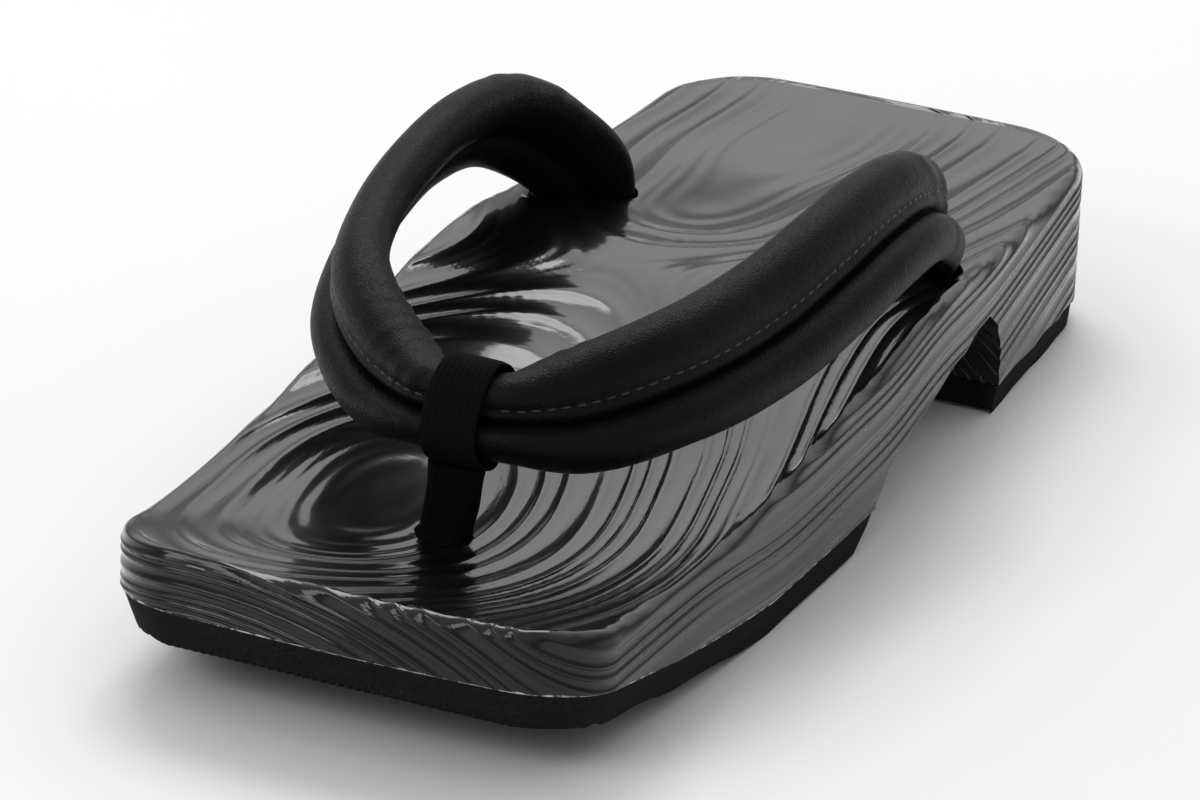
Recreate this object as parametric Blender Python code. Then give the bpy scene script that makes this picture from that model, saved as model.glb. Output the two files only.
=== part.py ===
# Geta sandal: one shoe of a low lacquered pair, toe towards -Y, standing on z = 0.
# A carved wooden board on a rocking front block and a heel tooth, rubber soles below,
# a padded leather thong strap held by a toe post in front and tied through two holes behind.

import math

import bmesh
import bpy
import numpy as np
from mathutils import Vector

for old in list(bpy.data.objects):
    bpy.data.objects.remove(old, do_unlink=True)

# Board
LENGTH = 0.2660
TOE_WIDTH = 0.0965
BALL_WIDTH = 0.1020
WAIST_WIDTH = 0.1035
HEEL_WIDTH = 0.0912
TOE_CORNER = 0.0157
HEEL_CORNER = 0.0205
TOE_BOW = 0.0032
HEEL_BOW = 0.0017
HEEL_HEIGHT = 0.0350
DISH = 0.0030
EDGE_ROUND = 0.0024
SIDE_RIBS = 7
RIB_DEPTH = 0.0005
WIDTH_PLACES = (-0.500, -0.264, 0.000, 0.500)
END_START = 0.32
SPINE_END = 0.34
TOP_RINGS = (0.86, 0.70, 0.52, 0.34, 0.17, 0.0)

# Rubber under the block and the tooth
TOE_SPRING = 0.0115
SOLE_RUBBER = 0.0070
HEEL_RUBBER = 0.0058
RUBBER_INSET = 0.0004
RUBBER_TUCK = 0.0030
SIDE_TUCK = 0.20
GLUE_GAP = 0.0003

# Waist between the block and the tooth
BLOCK_END = -0.0115
TOOTH_FRONT = 0.0655
WAIST_RISE = 0.0238
KICK_HEIGHT = 0.0120
KICK_DEPTH = 0.0075

# Strap and its holes
POST_SETBACK = 0.0473
POST_LEAN = 0.0010
POST_SWAY = 0.0040
HOLE_PLACE = 0.0565
HOLE_SPREAD = 0.0318
HOLE_BORE = 0.0104
STRAP_SPREAD = 0.0454
STRAP_RISE = 0.0250
BAND_WIDTH = 0.0262
BAND_THICKNESS = 0.0122
CLEARANCE = 0.0003
ARM_STEPS = 34
TAIL_START = 27

# Toe post
LOOP_WIDTH = 0.0112
LOOP_BAND = 0.0013
LOOP_EASE_RATIO = 1.05
LOOP_CORNERS = 3.0
PASSAGE_RATIO = 1.6
STEM_WIDTH = 0.0104
STEM_DEPTH = 0.0064
STEM_FOOT = 0.0104
SOCKET_DEPTH = 0.0100

# Hemp tie under the waist
TIE_CORD = 0.0048
TIE_DROP = 0.0030
TIE_REACH = 0.0160
KNOT_WIDTH = 0.0160
KNOT_HEIGHT = 0.0090
LOOSE_END = 0.0420

# Middle of the toe post, set back from the toe edge
POST_PLACE = POST_SETBACK - 0.5 * LENGTH

# One rib of the raised grain on the board's sides: place up the rib's share of the height, share of the depth
RIB_COLUMNS = ("place", "depth")
RIB_ROWS = (
    (0.3, 0.0),
    (0.5, 1.0),
    (0.7, 0.0),
)

# Top of the board: place along the length, height of the rim over the heel height, depth of the dish
TOP_COLUMNS = ("along", "rim", "dish")
TOP_ROWS = (
    (-0.500, 0.885, 0.10),
    (-0.396, 0.790, 0.75),
    (-0.283, 0.775, 1.00),
    (-0.170, 0.840, 0.85),
    (-0.075, 0.945, 0.55),
    (0.000, 1.010, 0.30),
    (0.075, 1.080, 0.20),
    (0.189, 1.040, 0.45),
    (0.340, 0.985, 0.60),
    (0.500, 1.015, 0.10),
)

# Underside of the front rubber: place along the length and lift over the toe spring
ROCKER_COLUMNS = ("along", "lift", "rubber")
ROCKER_ROWS = (
    (-0.500, 1.00, 1.12),
    (-0.396, 0.62, 1.03),
    (-0.283, 0.24, 0.99),
    (-0.189, 0.00, 1.00),
    (0.500, 0.00, 1.00),
)

# Underside of the waist from the front block to the tooth: share of the span, share of the rise
WAIST_COLUMNS = ("along", "rise")
WAIST_ROWS = (
    (0.00, 0.00),
    (0.08, 0.19),
    (0.14, 0.41),
    (0.22, 0.60),
    (0.35, 0.73),
    (0.48, 0.80),
    (0.66, 0.90),
    (0.83, 0.99),
    (0.92, 1.00),
    (0.98, 0.86),
    (1.02, 0.60),
    (1.02, 0.25),
    (1.00, 0.00),
)

# One arm of the strap from the toe post to its hole: along the reach, out over the spread, share of the
# post's sway, lift over the rise, shares of the band's width and thickness, and its roll in degrees
ARM_COLUMNS = ("along", "out", "sway", "lift", "wide", "thick", "roll")
ARM_ROWS = (
    (0.000, 0.000, 1.00, 0.98, 0.62, 1.08, 25.0),
    (0.000, 0.140, 1.00, 0.98, 0.62, 1.08, 25.0),
    (0.050, 0.370, 0.60, 0.96, 0.84, 1.06, 22.0),
    (0.185, 0.736, 0.15, 1.02, 0.97, 0.99, 20.0),
    (0.345, 0.910, 0.00, 1.00, 1.00, 0.93, 24.0),
    (0.500, 0.980, 0.00, 0.99, 0.98, 0.92, 28.0),
    (0.655, 1.000, 0.00, 0.94, 0.93, 0.91, 32.0),
    (0.805, 0.975, 0.00, 0.76, 0.86, 0.91, 32.0),
    (0.915, 0.905, 0.00, 0.46, 0.81, 0.90, 27.0),
    (0.980, 0.780, 0.00, 0.08, 0.72, 0.80, 18.0),
    (1.000, 0.700, 0.00, -0.26, 0.42, 0.68, 12.0),
)

# Section of the band: across from the upper edge to the lower edge, and out from the lining
BAND_COLUMNS = ("across", "out")
BAND_ROWS = (
    (-1.00, 0.00),
    (-0.94, 0.46),
    (-0.78, 0.84),
    (-0.54, 1.00),
    (-0.30, 0.96),
    (-0.11, 0.76),
    (0.03, 0.70),
    (0.09, 0.56),
    (0.15, 0.24),
    (0.23, 0.58),
    (0.40, 0.84),
    (0.62, 0.86),
    (0.84, 0.60),
    (1.00, 0.00),
    (0.88, -0.44),
    (0.62, -0.62),
    (0.36, -0.56),
    (0.15, -0.36),
    (-0.06, -0.56),
    (-0.40, -0.74),
    (-0.76, -0.62),
    (-0.95, -0.34),
)

# Stem of the toe post: share of the way from the board up to the strap, shares of the stem's width and depth
STEM_COLUMNS = ("rise", "wide", "deep")
STEM_ROWS = (
    (0.35, 1.00, 1.00),
    (0.75, 1.00, 1.00),
    (1.00, 1.06, 1.00),
)

# Half of the tie from its knot to the strap's hole: share of the hole's spread, share of the reach ahead of
# the hole, cord thicknesses below the tie's level
TIE_COLUMNS = ("out", "ahead", "below")
TIE_ROWS = (
    (0.60, 0.60, 1.0),
    (0.94, 0.15, 0.0),
)

# Knot of the tie: place across over its half width, radius over its half height
KNOT_COLUMNS = ("across", "size")
KNOT_ROWS = (
    (-1.0, 0.6),
    (-0.6, 1.0),
    (0.0, 1.0),
    (0.6, 1.0),
    (1.0, 0.6),
)

# Loose end from the knot: shares of its length across, along the shoe and up
LOOSE_COLUMNS = ("across", "along", "up")
LOOSE_ROWS = (
    (0.00, 0.00, 0.00),
    (0.45, -0.10, -0.02),
    (0.80, -0.24, -0.05),
    (1.00, -0.30, -0.10),
)


def column(rows, names, name):
    """One named column of a table as an array."""
    return np.array([row[names.index(name)] for row in rows], dtype=float)


def smooth(stations, values, place):
    """A smooth curve through a table's rows, read at one place or at many."""
    place = np.clip(place, stations[0], stations[-1])
    slopes = np.gradient(values, stations)
    row = np.clip(np.searchsorted(stations, place, side="right") - 1, 0, len(stations) - 2)
    span = stations[row + 1] - stations[row]
    t = (place - stations[row]) / span
    start = (2 * t**3 - 3 * t**2 + 1) * values[row] + (t**3 - 2 * t**2 + t) * span * slopes[row]
    end = (-2 * t**3 + 3 * t**2) * values[row + 1] + (t**3 - t**2) * span * slopes[row + 1]
    return start + end


def top_value(name, y):
    along = column(TOP_ROWS, TOP_COLUMNS, "along")
    return smooth(along, column(TOP_ROWS, TOP_COLUMNS, name), y / LENGTH)


def rim_height(y):
    return HEEL_HEIGHT * top_value("rim", y)


def half_width(y):
    """Half the board's width along its length."""
    stations = LENGTH * np.array(WIDTH_PLACES)
    widths = np.array([TOE_WIDTH, BALL_WIDTH, WAIST_WIDTH, HEEL_WIDTH])
    return 0.5 * smooth(stations, widths, y)


def board_top(x, y):
    """Height of the board's top face, dished across between its rims."""
    share = np.clip(np.abs(x) / half_width(y), 0, 1)
    return rim_height(y) - DISH * top_value("dish", y) * (1 - share**2) ** 1.5


def rocker(name, y):
    along = column(ROCKER_ROWS, ROCKER_COLUMNS, "along")
    return smooth(along, column(ROCKER_ROWS, ROCKER_COLUMNS, name), y / LENGTH)


def sole_bottom(y):
    """Underside of the front rubber, flat behind the ball and sprung at the toe."""
    return TOE_SPRING * np.maximum(rocker("lift", y), 0)


def sole_top(y):
    return sole_bottom(y) + SOLE_RUBBER * rocker("rubber", y)


def wood_bottom(y):
    """Underside of the wood: on the front rubber ahead of the waist, on the heel rubber behind it."""
    middle = 0.5 * (BLOCK_END + TOOTH_FRONT)
    return np.where(y < middle, sole_top(y), HEEL_RUBBER) + GLUE_GAP


def half_plan():
    """The right half of the board's plan from the middle of the toe to the middle of the heel."""
    toe = -0.5 * LENGTH
    heel = 0.5 * LENGTH
    points = []
    front = float(half_width(toe + TOE_CORNER)) - TOE_CORNER
    for step in range(6):
        points.append((front * step / 6, toe))
    for step in range(8):
        turn = math.radians(90 * step / 7)
        points.append((front + TOE_CORNER * math.sin(turn), toe + TOE_CORNER * (1 - math.cos(turn))))
    for y in np.linspace(toe + TOE_CORNER, heel - HEEL_CORNER, 27)[1:-1]:
        points.append((float(half_width(y)), float(y)))
    back = float(half_width(heel - HEEL_CORNER)) - HEEL_CORNER
    for step in range(8):
        turn = math.radians(90 * step / 7)
        points.append((back + HEEL_CORNER * math.cos(turn), heel - HEEL_CORNER * (1 - math.sin(turn))))
    for step in range(5, -1, -1):
        points.append((back * step / 6, heel))
    return [bowed(x, y) for x, y in points]


def bowed(x, y):
    """Sets the toe and heel edges back towards their corners, which makes them gently convex."""
    toe_reach = np.clip((-y / LENGTH - END_START) / (0.5 - END_START), 0, 1)
    heel_reach = np.clip((y / LENGTH - END_START) / (0.5 - END_START), 0, 1)
    toe_set = TOE_BOW * toe_reach * (2 * x / TOE_WIDTH) ** 2
    heel_set = HEEL_BOW * heel_reach * (2 * x / HEEL_WIDTH) ** 2
    return (x, float(y + toe_set - heel_set))


def closed_plan():
    """The whole plan, counter-clockwise from the middle of the toe."""
    right = half_plan()
    left = [(-x, y) for x, y in reversed(right[1:-1])]
    return np.array(right + left)


def plan_between(first, last):
    """The plan of the stretch from one place along the length to another, closed straight across."""
    right = [point for point in half_plan() if first < point[1] < last]
    if first > -0.5 * LENGTH:
        right = [(0, first), (float(half_width(first)), first)] + right
    if last < 0.5 * LENGTH:
        right = right + [(float(half_width(last)), last), (0, last)]
    left = [(-x, y) for x, y in reversed(right[1:-1])]
    return np.array(right + left)


def inset_plan(plan, depth):
    """The plan moved inwards by a depth, one value or one for each point."""
    ahead = np.roll(plan, -1, axis=0)
    behind = np.roll(plan, 1, axis=0)
    run = ahead - behind
    run /= np.linalg.norm(run, axis=1)[:, None]
    inward = np.column_stack([-run[:, 1], run[:, 0]])
    moved = plan + inward * np.broadcast_to(depth, len(plan))[:, None]
    moved[0, 0] = 0
    moved[len(plan) // 2, 0] = 0
    return moved


def add_ring(mesh, plan, heights):
    return [mesh.verts.new((x, y, z)) for (x, y), z in zip(plan, heights)]


def join_rings(mesh, lower, upper):
    count = len(lower)
    for i in range(count):
        j = (i + 1) % count
        mesh.faces.new((lower[i], lower[j], upper[j], upper[i]))


def close_across(mesh, ring, upward):
    """Closes a ring with strips from its right side to its left side."""
    count = len(ring)
    half = count // 2
    for i in range(half):
        right = (ring[i], ring[i + 1])
        left = (ring[-i % count], ring[-(i + 1) % count])
        corners = [right[0], right[1], left[1], left[0]]
        face = list(dict.fromkeys(corners))
        mesh.faces.new(face if upward else face[::-1])


def paint(thing, colour, roughness, metallic=0.0):
    material = bpy.data.materials.new(thing.name)
    material.use_nodes = True
    shader = material.node_tree.nodes["Principled BSDF"]
    shader.inputs["Base Color"].default_value = (*colour, 1)
    shader.inputs["Roughness"].default_value = roughness
    shader.inputs["Metallic"].default_value = metallic
    thing.data.materials.append(material)


def finish_mesh(mesh, name, smooth_angle=40):
    """Turns a bmesh into an object of the scene, facing out and shaded smooth."""
    bmesh.ops.remove_doubles(mesh, verts=mesh.verts, dist=1e-6)
    bmesh.ops.recalc_face_normals(mesh, faces=mesh.faces)
    data = bpy.data.meshes.new(name)
    mesh.to_mesh(data)
    mesh.free()
    data.shade_smooth()
    data.set_sharp_from_angle(angle=math.radians(smooth_angle))
    thing = bpy.data.objects.new(name, data)
    bpy.context.scene.collection.objects.link(thing)
    return thing


def make_cutter(thing):
    thing.hide_render = True
    thing.display_type = "WIRE"
    return thing


def use_boolean(thing, other, operation):
    cut = thing.modifiers.new(other.name, "BOOLEAN")
    cut.operation = operation
    cut.solver = "EXACT"
    cut.object = other


def prism(name, profile, half_span):
    """A solid that runs across the shoe, from a profile in Y and Z."""
    mesh = bmesh.new()
    near = [mesh.verts.new((-half_span, y, z)) for y, z in profile]
    far = [mesh.verts.new((half_span, y, z)) for y, z in profile]
    join_rings(mesh, near, far)
    mesh.faces.new(near[::-1])
    mesh.faces.new(far)
    return finish_mesh(mesh, name)


def upright(name, centre, bore, low, high, sides=32):
    """A round upright solid, for a drilled hole."""
    mesh = bmesh.new()
    turns = [2 * math.pi * i / sides for i in range(sides)]
    ring = [(centre[0] + 0.5 * bore * math.cos(a), centre[1] + 0.5 * bore * math.sin(a)) for a in turns]
    bottom = add_ring(mesh, ring, [low] * sides)
    top = add_ring(mesh, ring, [high] * sides)
    join_rings(mesh, bottom, top)
    mesh.faces.new(bottom[::-1])
    mesh.faces.new(top)
    return finish_mesh(mesh, name)


def waist_cutter():
    """The open waist between the slanted back of the front block and the tooth."""
    along = BLOCK_END + (TOOTH_FRONT - BLOCK_END) * column(WAIST_ROWS, WAIST_COLUMNS, "along")
    rise = WAIST_RISE * column(WAIST_ROWS, WAIST_COLUMNS, "rise")
    profile = list(zip(along, rise))
    slope = (along[1] - along[0]) / (rise[1] - rise[0])
    below = -0.5 * SOLE_RUBBER
    profile = [(along[0] + slope * below, below)] + profile[1:-1] + [(along[-1], below)]
    return make_cutter(prism("waist_cutter", profile, WAIST_WIDTH))


def kick_cutter():
    """The sloped back of the tooth, which lets the foot roll off its heel."""
    back = 0.5 * LENGTH
    slope = KICK_DEPTH / KICK_HEIGHT
    below = 0.5 * HEEL_RUBBER
    profile = (
        (back - KICK_DEPTH - slope * below, -below),
        (back + KICK_DEPTH, -below),
        (back + KICK_DEPTH, KICK_HEIGHT + KICK_HEIGHT),
        (back + slope * KICK_HEIGHT, KICK_HEIGHT + KICK_HEIGHT),
    )
    return make_cutter(prism("kick_cutter", profile, WAIST_WIDTH))


def wood_base(waist, kick):
    """The board with its block and tooth, one carved piece with raised grain along its sides."""
    plan = closed_plan()
    y = plan[:, 1]
    bottom = wood_bottom(y)
    shoulder = rim_height(y) - EDGE_ROUND
    mesh = bmesh.new()
    rings = [add_ring(mesh, plan, bottom)]
    for rib in range(SIDE_RIBS):
        for place, depth in RIB_ROWS:
            share = (rib + place) / SIDE_RIBS
            groove = inset_plan(plan, RIB_DEPTH * depth)
            rings.append(add_ring(mesh, groove, bottom + (shoulder - bottom) * share))
    rings.append(add_ring(mesh, plan, shoulder))
    for turn in (30, 60, 90):
        bend = math.radians(turn)
        edge = inset_plan(plan, EDGE_ROUND * (1 - math.cos(bend)))
        rings.append(add_ring(mesh, edge, shoulder + EDGE_ROUND * math.sin(bend)))
    inner = inset_plan(plan, EDGE_ROUND)
    reach = SPINE_END * LENGTH
    spine = np.column_stack([np.zeros(len(inner)), np.clip(inner[:, 1], -reach, reach)])
    for share in TOP_RINGS:
        ring = spine + (inner - spine) * share
        rings.append(add_ring(mesh, ring, board_top(ring[:, 0], ring[:, 1])))
    for lower, upper in zip(rings, rings[1:]):
        join_rings(mesh, lower, upper)
    close_across(mesh, rings[0], upward=False)
    bmesh.ops.remove_doubles(mesh, verts=mesh.verts, dist=1e-6)
    board = finish_mesh(mesh, "wood_base")
    use_boolean(board, waist, "DIFFERENCE")
    use_boolean(board, kick, "DIFFERENCE")
    for hole in strap_holes():
        use_boolean(board, hole, "DIFFERENCE")
    paint(board, (0.012, 0.011, 0.011), 0.22)
    return board


def strap_holes():
    """The socket of the toe post, and the two holes that the strap's tails go down."""
    over = HEEL_HEIGHT * 1.5
    post_floor = float(board_top(0, POST_PLACE)) - SOCKET_DEPTH
    holes = [upright("post_socket", (0, POST_PLACE), STEM_FOOT + 2 * CLEARANCE, post_floor, over)]
    for side in (-1, 1):
        name = "left_hole" if side < 0 else "right_hole"
        holes.append(upright(name, (side * HOLE_SPREAD, HOLE_PLACE), HOLE_BORE, 0, over))
        mouth = loop_sections(arm_frames(side)[TAIL_START:], CLEARANCE)
        holes.append(oval_solid(name + "_mouth", mouth, power=LOOP_CORNERS))
    return [make_cutter(hole) for hole in holes]


def rubber_piece(name, first, last, low, high):
    """A rubber sole below the stretch of wood from one place to another, tucked in at its lower edge."""
    plan = plan_between(first, last)
    outer = inset_plan(plan, RUBBER_INSET)
    y = plan[:, 1]
    toe_share = np.clip(-2 * y / LENGTH, 0, 1) ** 2
    mesh = bmesh.new()
    tucked = inset_plan(plan, RUBBER_INSET + RUBBER_TUCK * (SIDE_TUCK + (1 - SIDE_TUCK) * toe_share))
    rings = [add_ring(mesh, tucked, low(y)), add_ring(mesh, outer, high(y))]
    for lower, upper in zip(rings, rings[1:]):
        join_rings(mesh, lower, upper)
    close_across(mesh, rings[0], upward=False)
    close_across(mesh, rings[-1], upward=True)
    return finish_mesh(mesh, name)


def front_outsole(waist):
    """The rubber under the front block, cut off along the block's slanted back."""
    sole = rubber_piece("front_outsole", -LENGTH, BLOCK_END + 2 * SOLE_RUBBER, sole_bottom, sole_top)
    use_boolean(sole, waist, "DIFFERENCE")
    paint(sole, (0.035, 0.034, 0.034), 0.8)


def heel_outsole(waist, kick):
    """The flat rubber lift under the tooth, sloped off behind with it."""
    first = TOOTH_FRONT - 0.5 * HEEL_RUBBER
    lift = rubber_piece("heel_outsole", first, LENGTH, np.zeros_like, heel_lift_top)
    use_boolean(lift, waist, "DIFFERENCE")
    use_boolean(lift, kick, "DIFFERENCE")
    paint(lift, (0.035, 0.034, 0.034), 0.8)


def heel_lift_top(y):
    return np.full_like(y, HEEL_RUBBER)


def arm_point(row, side):
    """Centre of the band at one row of the arm's table, over the board; side is -1 for the left arm."""
    along, out, sway, lift = (row[ARM_COLUMNS.index(name)] for name in ("along", "out", "sway", "lift"))
    apex = POST_PLACE + POST_LEAN
    x = side * STRAP_SPREAD * out + POST_SWAY * sway
    y = apex + (HOLE_PLACE - apex) * along
    return (x, y, float(board_top(x, y)) + STRAP_RISE * lift)


def arm_frames(side):
    """Centres and half axes of one arm's sections from the post to the tail."""
    knots = np.array([arm_point(row, side) for row in ARM_ROWS])
    runs = np.linalg.norm(np.diff(knots, axis=0), axis=1)
    length = np.concatenate([[0], np.cumsum(runs)])
    places = np.linspace(0, length[-1], ARM_STEPS)
    centres = np.column_stack([smooth(length, knots[:, axis], places) for axis in range(3)])
    wide = 0.5 * BAND_WIDTH * smooth(length, column(ARM_ROWS, ARM_COLUMNS, "wide"), places)
    thick = 0.5 * BAND_THICKNESS * smooth(length, column(ARM_ROWS, ARM_COLUMNS, "thick"), places)
    roll = np.radians(smooth(length, column(ARM_ROWS, ARM_COLUMNS, "roll"), places))
    wide, thick, roll = wide.tolist(), thick.tolist(), roll.tolist()
    frames = []
    for i, centre in enumerate(centres):
        before = centres[max(i - 1, 0)]
        after = centres[min(i + 1, ARM_STEPS - 1)]
        along = Vector(after - before).normalized()
        if i == 0:
            along = Vector((side, 0, 0))
        out = side * along.cross(Vector((0, 0, 1))).normalized()
        rise = side * out.cross(along)
        across = -math.cos(roll[i]) * rise + math.sin(roll[i]) * out
        face = math.sin(roll[i]) * rise + math.cos(roll[i]) * out
        frames.append((Vector(centre), wide[i] * across, thick[i] * face))
    return frames


def band_frames():
    """The whole band's sections from the left tail over the toe post to the right tail."""
    return arm_frames(-1)[:0:-1] + arm_frames(1)


def strap():
    """The padded band, one piece from the left tail over the toe post to the right tail."""
    mesh = bmesh.new()
    rings = []
    for centre, across, face in band_frames():
        ring = [centre + across * share + face * out for share, out in BAND_ROWS]
        rings.append([mesh.verts.new(point) for point in ring])
    for near, far in zip(rings, rings[1:]):
        join_rings(mesh, near, far)
    mesh.faces.new(rings[0][::-1])
    mesh.faces.new(rings[-1])
    band = finish_mesh(mesh, "strap", smooth_angle=60)
    paint(band, (0.020, 0.019, 0.019), 0.46)
    return band


def oval_ring(mesh, centre, across, face, power=2.4, sides=24):
    """A ring of points round a rounded oblong."""
    ring = []
    for i in range(sides):
        turn = 2 * math.pi * i / sides
        u = math.copysign(abs(math.cos(turn)) ** (2 / power), math.cos(turn))
        v = math.copysign(abs(math.sin(turn)) ** (2 / power), math.sin(turn))
        ring.append(mesh.verts.new(centre + across * u + face * v))
    return ring


def oval_solid(name, sections, power=2.4, sides=24):
    mesh = bmesh.new()
    rings = [oval_ring(mesh, *section, power=power, sides=sides) for section in sections]
    for near, far in zip(rings, rings[1:]):
        join_rings(mesh, near, far)
    mesh.faces.new(rings[0][::-1])
    mesh.faces.new(rings[-1])
    return finish_mesh(mesh, name, smooth_angle=60)


def loop_sections(frames, grow):
    """Sections round the band, standing off it by a length and by the ease at its corners."""
    sections = []
    for centre, across, face in frames:
        wide = across * (LOOP_EASE_RATIO + grow / across.length)
        deep = face * (LOOP_EASE_RATIO + grow / face.length)
        sections.append((centre, wide, deep))
    return sections


def toe_post():
    """The fabric band looped over the pinched strap, and its stem down into the socket."""
    frames = band_frames()
    centre, across, face = frames[len(frames) // 2]
    loop_wide = Vector((0.5 * LOOP_WIDTH, 0, 0))
    ends = [(centre - loop_wide, across, face), (centre + loop_wide, across, face)]
    loop = oval_solid("toe_post", loop_sections(ends, CLEARANCE + LOOP_BAND), power=LOOP_CORNERS)
    near = [frame for frame in frames if abs(frame[0].x - centre.x) < PASSAGE_RATIO * LOOP_WIDTH]
    passage = oval_solid("post_passage", loop_sections(near, CLEARANCE), power=LOOP_CORNERS)
    foot = Vector((0, POST_PLACE, float(board_top(0, POST_PLACE))))
    bottom = foot - Vector((0, 0, SOCKET_DEPTH - CLEARANCE))
    strap_edge = centre + across
    foot_wide = Vector((0.5 * STEM_FOOT, 0, 0))
    foot_deep = Vector((0, 0.5 * STEM_FOOT, 0))
    stem_wide = Vector((0.5 * STEM_WIDTH, 0, 0))
    stem_deep = Vector((0, 0.5 * STEM_DEPTH, 0))
    stem = [(bottom, foot_wide, foot_deep), (foot, foot_wide, foot_deep)]
    for rise, wide, deep in STEM_ROWS:
        stem.append((foot.lerp(strap_edge, rise), stem_wide * wide, stem_deep * deep))
    stem.append((strap_edge.lerp(centre, 0.5), loop_wide, stem_deep))
    leg = make_cutter(oval_solid("post_stem", stem, power=2.0, sides=32))
    use_boolean(loop, leg, "UNION")
    use_boolean(loop, make_cutter(passage), "DIFFERENCE")
    paint(loop, (0.016, 0.015, 0.016), 0.85)
    return loop


def cord_solid(name, route, bore):
    """A round cord along a route of points."""
    sections = []
    for i, centre in enumerate(route):
        run = (route[min(i + 1, len(route) - 1)] - route[max(i - 1, 0)]).normalized()
        side = run.cross(Vector((0, 1, 0.2))).normalized() * 0.5 * bore
        sections.append((centre, side, side.cross(run).normalized() * 0.5 * bore))
    return oval_solid(name, sections, power=2.0, sides=12)


def rear_tie():
    """The hemp cord that ties the strap's tails together under the waist, with its knot and loose end."""
    level = WAIST_RISE - TIE_DROP
    frames = arm_frames(1)
    down = frames[-1][1].cross(frames[-1][2]).normalized()
    if down.z > 0:
        down = -down
    tail = frames[-1][0] + down * CLEARANCE
    knot_place = Vector((0, HOLE_PLACE - TIE_REACH, level - 0.5 * KNOT_HEIGHT))
    arm = [knot_place]
    for out, ahead, below in TIE_ROWS:
        arm.append(Vector((HOLE_SPREAD * out, HOLE_PLACE - TIE_REACH * ahead, level - TIE_CORD * below)))
    arm += [Vector((HOLE_SPREAD, HOLE_PLACE, WAIST_RISE)), tail + down * 0.6 * TIE_CORD, tail]
    mirrored = [Vector((-point.x, point.y, point.z)) for point in arm[1:]]
    tie = cord_solid("rear_tie", mirrored[::-1] + arm, TIE_CORD)
    knot = []
    for across, size in KNOT_ROWS:
        radius = 0.5 * KNOT_HEIGHT * size
        middle = knot_place + Vector((0.5 * KNOT_WIDTH * across, 0, 0))
        knot.append((middle, Vector((0, radius, 0)), Vector((0, 0, radius))))
    loose = [knot_place + LOOSE_END * Vector(row) for row in LOOSE_ROWS]
    use_boolean(tie, make_cutter(oval_solid("tie_knot", knot, power=2.0, sides=14)), "UNION")
    use_boolean(tie, make_cutter(cord_solid("tie_end", loose, TIE_CORD)), "UNION")
    paint(tie, (0.42, 0.32, 0.19), 0.9)
    return tie


waist = waist_cutter()
kick = kick_cutter()
wood_base(waist, kick)
front_outsole(waist)
heel_outsole(waist, kick)
strap()
toe_post()
rear_tie()
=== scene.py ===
import math

import bmesh
import bpy
import numpy as np
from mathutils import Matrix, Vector


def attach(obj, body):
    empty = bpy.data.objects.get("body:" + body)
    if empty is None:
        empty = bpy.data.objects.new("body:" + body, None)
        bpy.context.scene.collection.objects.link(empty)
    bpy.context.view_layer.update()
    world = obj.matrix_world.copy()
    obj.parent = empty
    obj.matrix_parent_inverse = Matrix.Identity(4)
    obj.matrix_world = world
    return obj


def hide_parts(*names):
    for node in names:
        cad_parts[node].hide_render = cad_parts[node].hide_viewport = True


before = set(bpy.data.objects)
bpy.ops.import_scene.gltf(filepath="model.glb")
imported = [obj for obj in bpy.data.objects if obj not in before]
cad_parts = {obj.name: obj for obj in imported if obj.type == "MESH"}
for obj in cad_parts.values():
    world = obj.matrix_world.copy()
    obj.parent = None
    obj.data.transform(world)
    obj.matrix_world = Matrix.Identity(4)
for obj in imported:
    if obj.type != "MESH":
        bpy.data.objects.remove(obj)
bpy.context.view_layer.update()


# The base is one plank of cedar, carved to a rocking front block and a heel tooth. Its soft grain is brushed
# away so that the hard growth rings stand proud, and the whole is sealed under black gloss lacquer.
LENGTH = 0.2660
TOE_WIDTH = 0.0965
BALL_WIDTH = 0.1020
WAIST_WIDTH = 0.1035
HEEL_WIDTH = 0.0912
WIDTH_PLACES = (-0.500, -0.264, 0.000, 0.500)
TOE_CORNER = 0.0157
HEEL_CORNER = 0.0205
TOE_BOW = 0.0032
HEEL_BOW = 0.0017
END_START = 0.32
HEEL_HEIGHT = 0.0350
DISH = 0.0030
EDGE_ROUND = 0.0024
TOE_SPRING = 0.0115
SOLE_RUBBER = 0.0070
HEEL_RUBBER = 0.0058
GLUE_GAP = 0.0003
BLOCK_END = -0.0115
TOOTH_FRONT = 0.0655
WAIST_RISE = 0.0238
KICK_HEIGHT = 0.0120
KICK_DEPTH = 0.0075
POST_PLACE = -0.0857
HOLE_PLACE = 0.0565
HOLE_SPREAD = 0.0318
HOLE_BORE = 0.0104
SOCKET_BORE = 0.0110
SOCKET_DEPTH = 0.0100
CLEARANCE = 0.0003

# Top of the board: place along the length, rim over the heel height, depth of the dish
TOP_COLUMNS = ("along", "rim", "dish")
TOP_ROWS = (
    (-0.500, 0.885, 0.10),
    (-0.396, 0.790, 0.75),
    (-0.283, 0.775, 1.00),
    (-0.170, 0.840, 0.85),
    (-0.075, 0.945, 0.55),
    (0.000, 1.010, 0.30),
    (0.075, 1.080, 0.20),
    (0.189, 1.040, 0.45),
    (0.340, 0.985, 0.60),
    (0.500, 1.015, 0.10),
)

# Underside of the front rubber: place along the length, lift over the toe spring, thickness
ROCKER_COLUMNS = ("along", "lift", "rubber")
ROCKER_ROWS = (
    (-0.500, 1.00, 1.12),
    (-0.396, 0.62, 1.03),
    (-0.283, 0.24, 0.99),
    (-0.189, 0.00, 1.00),
    (0.500, 0.00, 1.00),
)

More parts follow.
